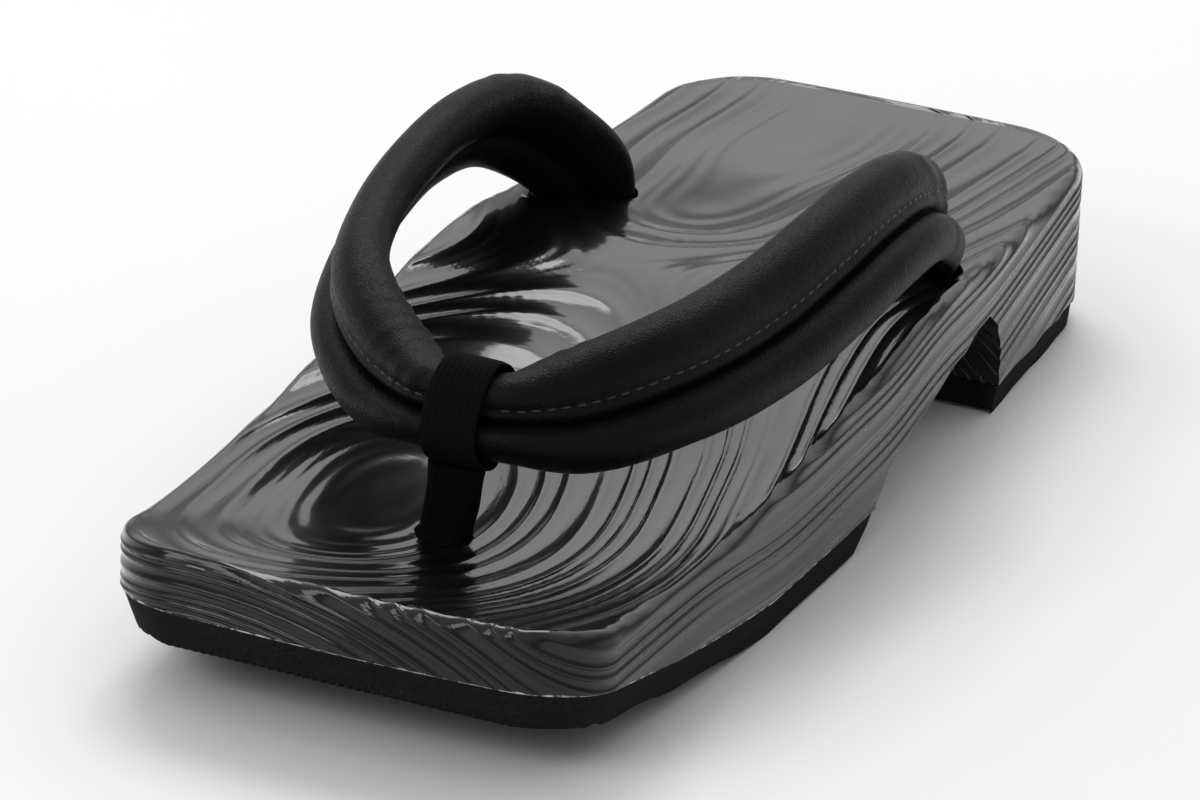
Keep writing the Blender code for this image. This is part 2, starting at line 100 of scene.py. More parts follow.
# Underside of the waist from the block to the tooth: share of the span, share of the rise
WAIST_ROWS = (
    (0.00, 0.00),
    (0.08, 0.19),
    (0.14, 0.41),
    (0.22, 0.60),
    (0.35, 0.73),
    (0.48, 0.80),
    (0.66, 0.90),
    (0.83, 0.99),
    (0.92, 1.00),
    (0.98, 0.86),
    (1.02, 0.60),
    (1.02, 0.25),
    (1.00, 0.00),
)

# Growth rings: pith below the board on the left, rings flattened across, hard rings standing proud, and finer
# lines between them where the grain runs flat. Their wander: size, length along, length across, phase
PITH_TOE = -0.024
PITH_HEEL = -0.012
PITH_DEPTH = -0.026
RING_FLATNESS = 0.75
RING_PITCH = 0.0021
RING_HEIGHT = 0.00017
CREST_SHARPNESS = 4.0
HEEL_FOLLOW = 0.85
BUNCHING = 0.24
BUNCH_RINGS = 3.7
STEEP_FACES = (0.30, 0.75)
STEEP_SHARE = 1.05
REAR_WEAR = 0.90
REAR_FADE = 0.016
FLAT_LINES = 5
FLAT_LINE_HEIGHT = 0.000085
FLAT_DENSITY = 0.50
PROBE = 0.0001
CREST_BUMP = 0.00016
STREAK_BUMP = 0.00013
FINE_BUMP = 0.000005
WAVE_BUMP = 0.00019
WANDER_ROWS = (
    (0.00130, 0.230, 9.000, 1.1),
    (0.00055, 0.105, 0.190, 2.3),
    (0.00018, 0.053, -0.110, 4.0),
)
OUTLINE_STEP = 0.00095
SIDE_ROWS = 84
TOP_ROWS_IN = 66
EDGE_ROWS = 8
CUT_STEP = 0.0014
DRILL_SIDES = 64
ARM_STEPS = 34


def column(rows, names, name):
    return np.array([row[names.index(name)] for row in rows], dtype=float)


def smooth(stations, values, place):
    """A smooth curve through a table's rows, read at one place or at many."""
    place = np.clip(place, stations[0], stations[-1])
    slopes = np.gradient(values, stations)
    row = np.clip(np.searchsorted(stations, place, side="right") - 1, 0, len(stations) - 2)
    span = stations[row + 1] - stations[row]
    t = (place - stations[row]) / span
    start = (2 * t**3 - 3 * t**2 + 1) * values[row] + (t**3 - 2 * t**2 + t) * span * slopes[row]
    end = (-2 * t**3 + 3 * t**2) * values[row + 1] + (t**3 - t**2) * span * slopes[row + 1]
    return start + end


def read_table(rows, names, name, places):
    """A table's column, read at places along its first column."""
    return smooth(column(rows, names, names[0]), column(rows, names, name), places)


def along_board(rows, names, name, y):
    return read_table(rows, names, name, y / LENGTH)


def rim_height(y):
    return HEEL_HEIGHT * along_board(TOP_ROWS, TOP_COLUMNS, "rim", y)


def half_width(y):
    widths = np.array([TOE_WIDTH, BALL_WIDTH, WAIST_WIDTH, HEEL_WIDTH])
    return 0.5 * smooth(LENGTH * np.array(WIDTH_PLACES), widths, y)


def board_top(x, y):
    share = np.clip(np.abs(x) / half_width(y), 0, 1)
    return rim_height(y) - DISH * along_board(TOP_ROWS, TOP_COLUMNS, "dish", y) * (1 - share**2) ** 1.5


def sole_bottom(y):
    return TOE_SPRING * np.maximum(along_board(ROCKER_ROWS, ROCKER_COLUMNS, "lift", y), 0)


def sole_top(y):
    return sole_bottom(y) + SOLE_RUBBER * along_board(ROCKER_ROWS, ROCKER_COLUMNS, "rubber", y)


def wood_bottom(y):
    middle = 0.5 * (BLOCK_END + TOOTH_FRONT)
    return np.where(y < middle, sole_top(y), HEEL_RUBBER) + GLUE_GAP


def half_outline(step, first=-LENGTH, last=LENGTH, ends=12):
    """Right half of the board's plan, from the middle of the toe to the middle of the heel or in part."""
    toe = -0.5 * LENGTH
    heel = 0.5 * LENGTH
    front = half_width(toe + TOE_CORNER) - TOE_CORNER
    back = half_width(heel - HEEL_CORNER) - HEEL_CORNER
    across = np.linspace(0, front, max(ends, int(front / step)), endpoint=False)
    turn = np.arange(0, math.pi / 2, step / TOE_CORNER)
    side = np.arange(toe + TOE_CORNER, heel - HEEL_CORNER, 1.4 * step)
    turn_back = np.arange(0, math.pi / 2, step / HEEL_CORNER)
    inward = np.linspace(back, 0, int(back / step))
    x = [across, front + TOE_CORNER * np.sin(turn), half_width(side)]
    x += [back + HEEL_CORNER * np.cos(turn_back), inward]
    y = [toe + 0 * across, toe + TOE_CORNER * (1 - np.cos(turn)), side]
    y += [heel - HEEL_CORNER * (1 - np.sin(turn_back)), heel + 0 * inward]
    x = np.concatenate(x)
    y = np.concatenate(y)
    toe_reach = np.clip((-y / LENGTH - END_START) / (0.5 - END_START), 0, 1)
    heel_reach = np.clip((y / LENGTH - END_START) / (0.5 - END_START), 0, 1)
    y = y + TOE_BOW * toe_reach * (2 * x / TOE_WIDTH) ** 2
    y = y - HEEL_BOW * heel_reach * (2 * x / HEEL_WIDTH) ** 2
    right = np.column_stack([x, y])
    right = right[(y > first) & (y < last)]
    if first > toe:
        start = [[share * half_width(first), first] for share in np.linspace(0, 1, ends)]
        right = np.vstack([start, right])
    if last < heel:
        end = [[share * half_width(last), last] for share in np.linspace(1, 0, ends)]
        right = np.vstack([right, end])
    return right


def whole_outline(right):
    return np.vstack([right, right[-2:0:-1] * (-1, 1)])


def inset(plan, depth):
    """The plan moved inwards by a depth, one value or one for each point."""
    run = unit_rows(np.roll(plan, -1, axis=0) - np.roll(plan, 1, axis=0))
    inward = np.column_stack([-run[:, 1], run[:, 0]])
    moved = plan + inward * np.broadcast_to(depth, len(plan))[:, None]
    moved[0, 0] = 0
    moved[len(plan) // 2, 0] = 0
    return moved


def ring_faces(rings, count):
    """Faces between rings of points that lie one after another in a list."""
    faces = []
    for low in range(0, (rings - 1) * count, count):
        for i in range(count):
            j = (i + 1) % count
            faces.append((low + i, low + j, low + count + j, low + count + i))
    return faces


def capped_faces(rings, count):
    """Faces between rings of points, with both ends closed."""
    last = (rings - 1) * count
    return ring_faces(rings, count) + [tuple(range(count))[::-1], tuple(range(last, last + count))]


def full_turn(count):
    return np.linspace(0, 2 * math.pi, count, endpoint=False)


def unit_rows(rows):
    return rows / np.linalg.norm(rows, axis=1)[:, None]


def run_lengths(points):
    """Distance of each point from the first, along the line through them."""
    return np.concatenate([[0], np.cumsum(np.linalg.norm(np.diff(points, axis=0), axis=1))])


def strips_across(count, start, upward):
    """Faces that close a ring from its right side to its left side."""
    faces = []
    for i in range(count // 2):
        corners = [start + i, start + i + 1, start + (-i - 1) % count, start + -i % count]
        face = list(dict.fromkeys(corners))
        faces.append(tuple(face if upward else face[::-1]))
    return faces


def make_piece(name, points, faces, angle=50, merge=1e-6):
    """An object from points and faces, with doubled points merged, facing out and shaded smooth."""
    mesh = bpy.data.meshes.new(name)
    mesh.from_pydata([tuple(point) for point in np.asarray(points, dtype=float).tolist()], [], faces)
    work = bmesh.new()
    work.from_mesh(mesh)
    bmesh.ops.remove_doubles(work, verts=work.verts, dist=merge)
    bmesh.ops.dissolve_degenerate(work, edges=work.edges, dist=1e-8)
    bmesh.ops.recalc_face_normals(work, faces=work.faces)
    work.to_mesh(mesh)
    work.free()
    mesh.shade_smooth()
    mesh.set_sharp_from_angle(angle=math.radians(angle))
    piece = bpy.data.objects.new(name, mesh)
    bpy.context.scene.collection.objects.link(piece)
    return piece


def cut_away(piece, cutters):
    """Cuts other solids out of a piece for good."""
    for cutter in cutters:
        change = piece.modifiers.new(cutter.name, "BOOLEAN")
        change.operation = "DIFFERENCE"
        change.solver = "MANIFOLD"
        change.object = cutter
    mesh = bpy.data.meshes.new_from_object(piece.evaluated_get(bpy.context.evaluated_depsgraph_get()))
    piece.modifiers.clear()
    piece.data = mesh
    for cutter in cutters:
        bpy.data.objects.remove(cutter, do_unlink=True)


def resample(points, step):
    """Points about a step apart along a line with corners, its corners kept."""
    dense = [points[0]]
    for start, end in zip(points, points[1:]):
        count = max(int(np.linalg.norm(np.subtract(end, start)) / step), 1)
        for i in range(1, count + 1):
            dense.append(tuple(np.add(start, np.subtract(end, start) * i / count)))
    return dense


def cross_prism(name, profile, step):
    """A solid across the shoe from a profile in Y and Z, its faces fine enough to carry the grain."""
    profile = resample(profile, step)
    columns = np.arange(-0.6 * WAIST_WIDTH, 0.6 * WAIST_WIDTH, step)
    points = [(x, y, z) for x in columns for y, z in profile]
    return make_piece(name, points, capped_faces(len(columns), len(profile)))


def waist_cutter(step=CUT_STEP):
    rows = [(BLOCK_END + (TOOTH_FRONT - BLOCK_END) * along, WAIST_RISE * rise) for along, rise in WAIST_ROWS]
    slope = (rows[1][0] - rows[0][0]) / (rows[1][1] - rows[0][1])
    below = -0.5 * SOLE_RUBBER
    profile = [(rows[0][0] + slope * below, below)] + rows[1:-1] + [(rows[-1][0], below)]
    return cross_prism("waist_cutter", profile, step)


def kick_cutter(step=CUT_STEP):
    back = 0.5 * LENGTH
    slope = KICK_DEPTH / KICK_HEIGHT
    below = 0.5 * HEEL_RUBBER
    profile = [
        (back + KICK_DEPTH, -below),
        (back + KICK_DEPTH, 2 * KICK_HEIGHT),
        (back + slope * KICK_HEIGHT, 2 * KICK_HEIGHT),
        (back - KICK_DEPTH - slope * below, -below),
    ]
    return cross_prism("kick_cutter", profile, step)


def drill(name, x, y, bore, low, high):
    circle = [(x + 0.5 * bore * u, y + 0.5 * bore * v) for u, v in zip(*unit_oval(2, DRILL_SIDES))]
    points = [(*place, z) for z in (low, high) for place in circle]
    return make_piece(name, points, capped_faces(2, DRILL_SIDES))


# One arm of the strap from the toe post to its hole, which also shapes the holes' mouths in the board:
# along the reach, out over the spread, share of the post's sway, lift, width, thickness, roll in degrees
ARM_COLUMNS = ("along", "out", "sway", "lift", "wide", "thick", "roll")
ARM_ROWS = (
    (0.000, 0.000, 1.00, 0.98, 0.62, 1.08, 25.0),
    (0.000, 0.140, 1.00, 0.98, 0.62, 1.08, 25.0),
    (0.050, 0.370, 0.60, 0.96, 0.84, 1.06, 22.0),
    (0.185, 0.736, 0.15, 1.02, 0.97, 0.99, 20.0),
    (0.345, 0.910, 0.00, 1.00, 1.00, 0.93, 24.0),
    (0.500, 0.980, 0.00, 0.99, 0.98, 0.92, 28.0),
    (0.655, 1.000, 0.00, 0.94, 0.93, 0.91, 32.0),
    (0.805, 0.975, 0.00, 0.76, 0.86, 0.91, 32.0),
    (0.915, 0.905, 0.00, 0.46, 0.81, 0.90, 27.0),
    (0.980, 0.780, 0.00, 0.08, 0.72, 0.80, 18.0),
    (1.000, 0.700, 0.00, -0.26, 0.42, 0.68, 12.0),
)
POST_LEAN = 0.0010
POST_SWAY = 0.0040
STRAP_SPREAD = 0.0454
STRAP_RISE = 0.0250
BAND_WIDTH = 0.0262
BAND_THICKNESS = 0.0122
BAND_EASE = 1.05
BAND_CORNERS = 3.0


def arm_point(row, side):
    along, out, sway, lift = (row[ARM_COLUMNS.index(name)] for name in ("along", "out", "sway", "lift"))
    apex = POST_PLACE + POST_LEAN
    x = side * STRAP_SPREAD * out + POST_SWAY * sway
    y = apex + (HOLE_PLACE - apex) * along
    return (x, y, float(board_top(x, y)) + STRAP_RISE * lift)


def arm_frames(side, steps):
    """Centres, half axes and distances from the post of one arm's sections, from the post to the tail."""
    knots = np.array([arm_point(row, side) for row in ARM_ROWS])
    length = run_lengths(knots)
    places = np.linspace(0, length[-1], steps)
    centres = np.column_stack([smooth(length, knots[:, axis], places) for axis in range(3)])
    wide = 0.5 * BAND_WIDTH * smooth(length, column(ARM_ROWS, ARM_COLUMNS, "wide"), places)
    thick = 0.5 * BAND_THICKNESS * smooth(length, column(ARM_ROWS, ARM_COLUMNS, "thick"), places)
    roll = np.radians(smooth(length, column(ARM_ROWS, ARM_COLUMNS, "roll"), places))
    reach = max(round(steps / ARM_STEPS), 1)
    frames = []
    for i in range(steps):
        before = centres[max(i - reach, 0)]
        after = centres[min(i + reach, steps - 1)]
        along = Vector(after - before).normalized()
        if i < reach:
            along = along.lerp(Vector((side, 0, 0)), 1 - i / reach).normalized()
        out = side * along.cross(Vector((0, 0, 1))).normalized()
        rise = side * out.cross(along)
        tip = float(roll[i])
        across = -math.cos(tip) * rise + math.sin(tip) * out
        face = math.sin(tip) * rise + math.cos(tip) * out
        frames.append((Vector(centres[i]), float(wide[i]) * across, float(thick[i]) * face, float(places[i])))
    return frames


def unit_oval(power, sides):
    """Two places for each point round an oval of half width one, squarer with more power."""
    turns = full_turn(sides)
    u = np.sign(np.cos(turns)) * np.abs(np.cos(turns)) ** (2 / power)
    v = np.sign(np.sin(turns)) * np.abs(np.sin(turns)) ** (2 / power)
    return u, v


def oval_points(centre, across, face, power, sides):
    u, v = unit_oval(power, sides)
    return np.array(centre) + u[:, None] * np.array(across) + v[:, None] * np.array(face)


def oval_loft(name, sections, power, sides=48, angle=60):
    """A closed solid through rounded oblong sections."""
    points = np.vstack([oval_points(*section, power, sides) for section in sections])
    return make_piece(name, points, capped_faces(len(sections), sides), angle)


def eased(frames, grow):
    """Sections round the band, standing off it by a length."""
    return [
        (centre, across * (BAND_EASE + grow / across.length), face * (BAND_EASE + grow / face.length))
        for centre, across, face, _ in frames
    ]


def ring_number(points):
    """How many growth rings lie between the pith and each point."""
    x, y, z = points.T
    pith = PITH_TOE + (PITH_HEEL - PITH_TOE) * (y / LENGTH + 0.5)
    follow = HEEL_FOLLOW * np.clip((y / LENGTH + 0.02) / 0.20, 0, 1)
    depth = z - PITH_DEPTH - follow * (rim_height(y) - HEEL_HEIGHT)
    radius = np.sqrt((RING_FLATNESS * (x - pith)) ** 2 + depth**2)
    for size, along, across, phase in WANDER_ROWS:
        radius = radius + size * np.sin(2 * math.pi * (y / along + x / across) + phase)
    number = radius / RING_PITCH
    return number + BUNCHING * np.sin(2 * math.pi * number / BUNCH_RINGS)


def carve_base():
    plan = whole_outline(half_outline(OUTLINE_STEP))
    y = plan[:, 1]
    bottom = wood_bottom(y)
    shoulder = rim_height(y) - EDGE_ROUND
    rings = []
    for share in np.linspace(0, 1, SIDE_ROWS):
        rings.append(np.column_stack([plan, bottom + (shoulder - bottom) * share]))
    for bend in np.linspace(0, math.pi / 2, EDGE_ROWS + 1)[1:]:
        edge = inset(plan, EDGE_ROUND * (1 - math.cos(bend)))
        rings.append(np.column_stack([edge, shoulder + EDGE_ROUND * math.sin(bend)]))
    inner = inset(plan, EDGE_ROUND)
    reach = 0.34 * LENGTH
    spine = np.column_stack([np.zeros(len(inner)), np.clip(inner[:, 1], -reach, reach)])
    for share in np.linspace(1, 0, TOP_ROWS_IN)[1:]:
        ring = spine + (inner - spine) * share
        rings.append(np.column_stack([ring, board_top(ring[:, 0], ring[:, 1])]))
    faces = ring_faces(len(rings), len(plan)) + strips_across(len(plan), 0, upward=False)
    return make_piece("wooden_base", np.vstack(rings), faces)


wooden_base = carve_base()
cutters = [waist_cutter(), kick_cutter()]
socket_floor = float(board_top(0, POST_PLACE)) - SOCKET_DEPTH
cutters.append(drill("post_socket", 0, POST_PLACE, SOCKET_BORE, socket_floor, 1.5 * HEEL_HEIGHT))
for side in (-1, 1):
    cutters.append(drill("strap_hole", side * HOLE_SPREAD, HOLE_PLACE, HOLE_BORE, 0, 1.5 * HEEL_HEIGHT))
    cutters.append(oval_loft("hole_mouth", eased(arm_frames(side, ARM_STEPS)[27:], CLEARANCE), BAND_CORNERS))
cut_away(wooden_base, cutters)


def raise_grain(piece):
    """Lifts the hard rings off the carved surface, and notes the ring number of each point for the finish."""
    mesh = piece.data
    points = np.empty(len(mesh.vertices) * 3)
    mesh.vertices.foreach_get("co", points)
    points = points.reshape(-1, 3)
    normals = np.array([vertex.normal for vertex in mesh.vertices])
    rings = ring_number(points)
    flat = np.clip((np.abs(normals[:, 2]) - STEEP_FACES[0]) / (STEEP_FACES[1] - STEEP_FACES[0]), 0, 1)
    worn = REAR_WEAR * np.clip(2.5 * normals[:, 1], 0, 1) * np.clip(4 * normals[:, 2], 0, 1)
    fade = np.clip((0.5 * LENGTH - points[:, 1]) / REAR_FADE, 0, 1) ** 2
    fade = np.where(normals[:, 2] > 0, fade, 1)
    lift = RING_HEIGHT * fade * (STEEP_SHARE + (1 - STEEP_SHARE) * flat) * np.cos(2 * math.pi * rings)
    slope = np.column_stack([(ring_number(points + step) - rings) / PROBE for step in PROBE * np.eye(3)])
    slope -= normals * np.sum(slope * normals, axis=1)[:, None]
    density = RING_PITCH * np.linalg.norm(slope, axis=1)
    open_grain = np.clip(1 - density / FLAT_DENSITY, 0, 1) * np.clip(3 * normals[:, 2] - 1.5, 0, 1)
    lift += FLAT_LINE_HEIGHT * fade * open_grain * np.cos(2 * math.pi * FLAT_LINES * rings)
    mesh.vertices.foreach_set("co", (points + normals * lift[:, None]).ravel())
    for name, values in (("rings", rings), ("raised", 1 - worn)):
        layer = mesh.attributes.new(name, "FLOAT", "POINT")
        layer.data.foreach_set("value", values.astype(np.float32))
    mesh.shade_smooth()
    mesh.set_sharp_from_angle(angle=math.radians(50))
    mesh.update()


raise_grain(wooden_base)


def new_material(name, **settings):
    """A material, its shader with the settings made, and the place on the piece."""
    material = bpy.data.materials.new(name)
    material.use_nodes = True
    nodes = material.node_tree.nodes
    shader = nodes["Principled BSDF"]
    for key, value in settings.items():
        socket = shader.inputs[key.replace("_", " ")]
        socket.default_value = (*value, 1) if isinstance(value, tuple) else value
    return material, shader, nodes.new("ShaderNodeTexCoord").outputs["Object"]


def add_node(beside, kind):
    """A new node in the same finish as another node's result."""
    return beside.id_data.nodes.new(kind)


def join(value, node, name):
    node.id_data.links.new(value, node.inputs[name])


def math_node(operation, first, second=None, third=None):
    node = add_node(first, "ShaderNodeMath")
    node.operation = operation
    for place, value in enumerate((first, second, third)):
        if isinstance(value, (int, float)):
            node.inputs[place].default_value = value
        elif value is not None:
            join(value, node, place)
    return node.outputs[0]


def noise(place, scale, detail=3.0, rough=0.5, stretch=(1, 1, 1)):
    """Soft noise over the piece, stretched along its axes."""
    mapping = add_node(place, "ShaderNodeMapping")
    mapping.inputs["Scale"].default_value = stretch
    join(place, mapping, "Vector")
    texture = add_node(place, "ShaderNodeTexNoise")
    texture.inputs["Scale"].default_value = scale
    texture.inputs["Detail"].default_value = detail
    texture.inputs["Roughness"].default_value = rough
    join(mapping.outputs[0], texture, "Vector")
    return texture.outputs["Fac"]


def spread(value, low, high, to_low, to_high):
    node = add_node(value, "ShaderNodeMapRange")
    join(value, node, "Value")
    node.inputs["From Min"].default_value = low
    node.inputs["From Max"].default_value = high
    node.inputs["To Min"].default_value = to_low
    node.inputs["To Max"].default_value = to_high
    return node.outputs[0]


def blend_colours(share, first, second):
    node = add_node(share, "ShaderNodeMix")
    node.data_type = "RGBA"
    join(share, node, "Factor")
    for place, colour in ((6, first), (7, second)):
        if isinstance(colour, tuple):
            node.inputs[place].default_value = (*colour, 1)
        else:
            join(colour, node, place)
    return node.outputs[2]


def bump(height, distance, before=None):
    node = add_node(height, "ShaderNodeBump")
    node.inputs["Distance"].default_value = distance
    join(height, node, "Height")
    if before is not None:
        join(before, node, "Normal")
    return node.outputs["Normal"]


def noted(place, name):
    """A number that was noted at each point of the piece."""
    node = add_node(place, "ShaderNodeAttribute")
    node.attribute_name = name
    return node.outputs["Fac"]


def lacquer():
    """Black gloss lacquer over raised grain: fine lines between the rings, and a brown glow on the crests."""
    material, shader, place = new_material(
        "black_lacquer",
        Base_Color=(0.010, 0.009, 0.009),
        Roughness=0.30,
        Specular_IOR_Level=0.06,
        Coat_Weight=1.0,
        Coat_Roughness=0.10,
        Coat_IOR=1.40,
    )
    number = noted(place, "rings")
    raised = noted(place, "raised")
    turn = math_node("MULTIPLY", number, 2 * math.pi)
    crest = math_node("MULTIPLY_ADD", math_node("COSINE", turn), 0.5, 0.5)
    crest = math_node("POWER", crest, CREST_SHARPNESS)
    fine_turn = math_node("MULTIPLY", number, 4 * math.pi)
    fine = math_node("COSINE", fine_turn)
    fading = noise(place, 60, 2, 0.5, (1, 0.25, 1))
    fine = math_node("MULTIPLY", fine, spread(fading, 0.42, 0.62, 0, 1))
    streak_place = add_node(place, "ShaderNodeCombineXYZ")
    parts = add_node(place, "ShaderNodeSeparateXYZ")
    join(place, parts, 0)
    join(number, streak_place, "X")
    join(math_node("MULTIPLY", parts.outputs["Y"], 16), streak_place, "Y")
    join(math_node("MULTIPLY", parts.outputs["X"], 16), streak_place, "Z")
    streaks = noise(streak_place.outputs[0], 2.1, 3, 0.55)
    normal = bump(math_node("MULTIPLY", crest, raised), CREST_BUMP)
    normal = bump(math_node("MULTIPLY", streaks, raised), STREAK_BUMP, normal)
    normal = bump(fine, FINE_BUMP, normal)
    waves = noise(place, 90, 2, 0.5, (1, 0.12, 1))
    normal = bump(waves, WAVE_BUMP, normal)
    join(normal, shader, "Normal")
    join(normal, shader, "Coat Normal")
    glow = math_node("MULTIPLY", crest, spread(fading, 0.35, 0.7, 0.1, 0.7))
    brown = blend_colours(glow, (0.0030, 0.0025, 0.0025), (0.0080, 0.0056, 0.0050))
    join(brown, shader, "Base Color")
    join(spread(waves, 0.3, 0.7, 0.26, 0.36), shader, "Roughness")
    return material


wooden_base.data.materials.clear()
wooden_base.data.materials.append(lacquer())
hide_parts("wood_base")
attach(wooden_base, "root")


# The soles are cellular rubber, charcoal grey and matte, glued under the block and the tooth, with fine
# lengthwise grooves moulded in their undersides. A thin pale line of glue shows at the joint.
RUBBER_INSET = 0.0004
RUBBER_TUCK = 0.0030
SIDE_TUCK = 0.20
TREAD_PITCH = 0.00175
TREAD_DEPTH = 0.00105
TREAD_COLUMNS = 170
WALL_STEP = 0.0007
ROW_STRIDE = 4
GLUE_SET = 0.0003
HEEL_GLUE_SET = 0.0016
GLUE_OVERLAP = 0.00005
SOLE_CUT_STEP = 0.004


def tread(x):
    """Depth of the grooves across the sole."""
    return TREAD_DEPTH * (0.5 + 0.5 * np.cos(2 * math.pi * x / TREAD_PITCH)) ** 1.5


def rubber_sole(name, first, last, low, high):
    """A sole with its wall sloped in towards the floor and grooves along its underside."""
    right = half_outline(WALL_STEP, first, last, TREAD_COLUMNS)
    plan = whole_outline(right)
    y = plan[:, 1]
    toe_share = np.clip(-2 * y / LENGTH, 0, 1) ** 2
    tuck = RUBBER_TUCK * (SIDE_TUCK + (1 - SIDE_TUCK) * toe_share)
    rings = []
    for share in (1.0, 0.94, 0.6, 0.3, 0.10, 0.0):
        ring = inset(plan, RUBBER_INSET + tuck * (1 - share))
        rings.append(np.column_stack([ring, low(y) + (high(y) - low(y)) * share]))
    edge = rings[-1]
    edge[:, 2] += tread(edge[:, 0])
    count = len(plan)
    points = list(np.vstack(rings))
    faces = ring_faces(len(rings), count) + strips_across(count, 0, upward=True)
    base = (len(rings) - 1) * count
    line = [base + i % count for i in range(-TREAD_COLUMNS + 1, TREAD_COLUMNS)]
    before_row = TREAD_COLUMNS - 1
    rear = len(right) - max(int(1.2 * TREAD_COLUMNS), 1)
    for row in range(before_row + ROW_STRIDE, rear, ROW_STRIDE):
        ahead = line
        left, far = edge[-row], edge[row]
        x = np.linspace(left[0], far[0], len(ahead))
        z = low(np.full_like(x, far[1])) + tread(x)
        line = [base + -row % count] + list(range(len(points), len(points) + len(x) - 2)) + [base + row]
        points += [np.array((a, far[1], b)) for a, b in zip(x[1:-1], z[1:-1])]
        walls = range(before_row + 1, row)
        for i in range(len(x) - 1):
            face = [ahead[i], ahead[i + 1], line[i + 1], line[i]]
            if i == 0:
                face += [base + -k % count for k in reversed(walls)]
            if i == len(x) - 2:
                face[2:2] = [base + k for k in walls]
            faces.append(tuple(face))
        before_row = row
    rest = [base + k % count for k in range(before_row + 1, count - before_row)]
    faces.append(tuple(line + rest))
    return make_piece(name, points, faces, 45)


def heel_top(y):
    return np.full_like(y, HEEL_RUBBER)


front_rubber = rubber_sole("front_rubber", -LENGTH, BLOCK_END + 2 * SOLE_RUBBER, sole_bottom, sole_top)
cut_away(front_rubber, [waist_cutter(SOLE_CUT_STEP)])
heel_rubber = rubber_sole("heel_rubber", TOOTH_FRONT - 0.5 * HEEL_RUBBER, LENGTH, np.zeros_like, heel_top)
cut_away(heel_rubber, [waist_cutter(SOLE_CUT_STEP), kick_cutter(SOLE_CUT_STEP)])


def charcoal_rubber():
    material, shader, place = new_material("charcoal_rubber", Roughness=0.85, Specular_IOR_Level=0.06)
    cells = noise(place, 1500, 3, 0.65)
    streaks = noise(place, 130, 3, 0.6, (1, 1, 2.5))
    pale = spread(cells, 0.45, 0.75, 0, 1)
    pale = math_node("MULTIPLY", pale, spread(streaks, 0.3, 0.7, 0.25, 1))
    grey = blend_colours(pale, (0.007, 0.0068, 0.0067), (0.024, 0.0232, 0.0228))
    join(grey, shader, "Base Color")
    normal = bump(streaks, 0.00012)
    normal = bump(cells, 0.00008, normal)
    join(normal, shader, "Normal")
    join(spread(cells, 0.3, 0.7, 0.70, 0.88), shader, "Roughness")
    return material


def dry_glue():
    material, shader, place = new_material("dry_glue", Roughness=0.6)
    specks = noise(place, 420, 3, 0.7)
    share = spread(specks, 0.44, 0.56, 0, 1)
    tone = blend_colours(share, (0.03, 0.03, 0.03), (0.52, 0.50, 0.47))
    join(tone, shader, "Base Color")
    join(bump(specks, 0.0001), shader, "Normal")
    return material


def glue_line(name, first, last, low, depth):
    """The sliver of dried glue between the wood and the rubber."""
    plan = inset(whole_outline(half_outline(OUTLINE_STEP, first, last)), depth)
    y = plan[:, 1]
    lifts = (-GLUE_OVERLAP, 0.5 * GLUE_GAP, GLUE_GAP + GLUE_OVERLAP)
    rings = [np.column_stack([plan, low(y) + lift]) for lift in lifts]
    faces = ring_faces(3, len(plan)) + strips_across(len(plan), 0, upward=False)
    faces += strips_across(len(plan), 2 * len(plan), upward=True)
    return make_piece(name, np.vstack(rings), faces)


rubber = charcoal_rubber()
glue = dry_glue()
front_glue = glue_line("front_glue", -LENGTH, BLOCK_END + 2 * SOLE_RUBBER, sole_top, GLUE_SET)
cut_away(front_glue, [waist_cutter(SOLE_CUT_STEP)])
heel_glue = glue_line("heel_glue", TOOTH_FRONT + HEEL_GLUE_SET, LENGTH, heel_top, HEEL_GLUE_SET)
cut_away(heel_glue, [waist_cutter(SOLE_CUT_STEP), kick_cutter(SOLE_CUT_STEP)])
for piece, material, slot in (
    (front_rubber, rubber, "sole_rubber"),
    (heel_rubber, rubber, "heel_rubber"),
    (front_glue, glue, "sole_rubber"),
    (heel_glue, glue, "heel_rubber"),
):
    piece.data.materials.clear()
    piece.data.materials.append(material)
    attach(piece, "root")
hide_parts("front_outsole")
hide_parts("heel_outsole")


# The strap is black leather sewn round a soft core into two rolls, a large one above and a small one below,
# with a stitched lip and a deep groove between them. It bends over the toe post and goes down both holes.
# The band's section: place across over half its width, place out over half its thickness
BAND_ROWS = (
    (-1.00, 0.00),
    (-0.94, 0.46),
    (-0.78, 0.84),
    (-0.54, 1.00),
    (-0.30, 0.96),
    (-0.11, 0.76),
    (0.03, 0.70),
    (0.09, 0.56),
    (0.15, 0.24),
    (0.23, 0.58),
    (0.40, 0.84),
    (0.62, 0.86),
    (0.84, 0.60),
    (1.00, 0.00),
    (0.88, -0.44),
    (0.62, -0.62),
    (0.36, -0.56),
    (0.15, -0.36),
    (-0.06, -0.56),
    (-0.40, -0.74),
    (-0.76, -0.62),
    (-0.95, -0.34),
)
BAND_STEPS = 190
BAND_POINTS = 150
STITCH_PLACE = 5.0
STITCH_PITCH = 0.0029
STITCH_LENGTH = 0.0019
STITCH_THICKNESS = 0.00046
STITCH_ENDS = 0.012
PORE_BUMP = 0.00006
GRAIN_BUMP = 0.00009
FOLD_BUMP = 0.00022
POST_REACH = 0.0062

# One stitch: share of its length, size, lift over half its thickness
STITCH_ROWS = (
    (0.00, 0.35, -0.9),
    (0.12, 0.80, -0.3),
    (0.35, 1.00, 0.1),
    (0.65, 1.00, 0.1),
    (0.88, 0.80, -0.3),
    (1.00, 0.35, -0.9),
)

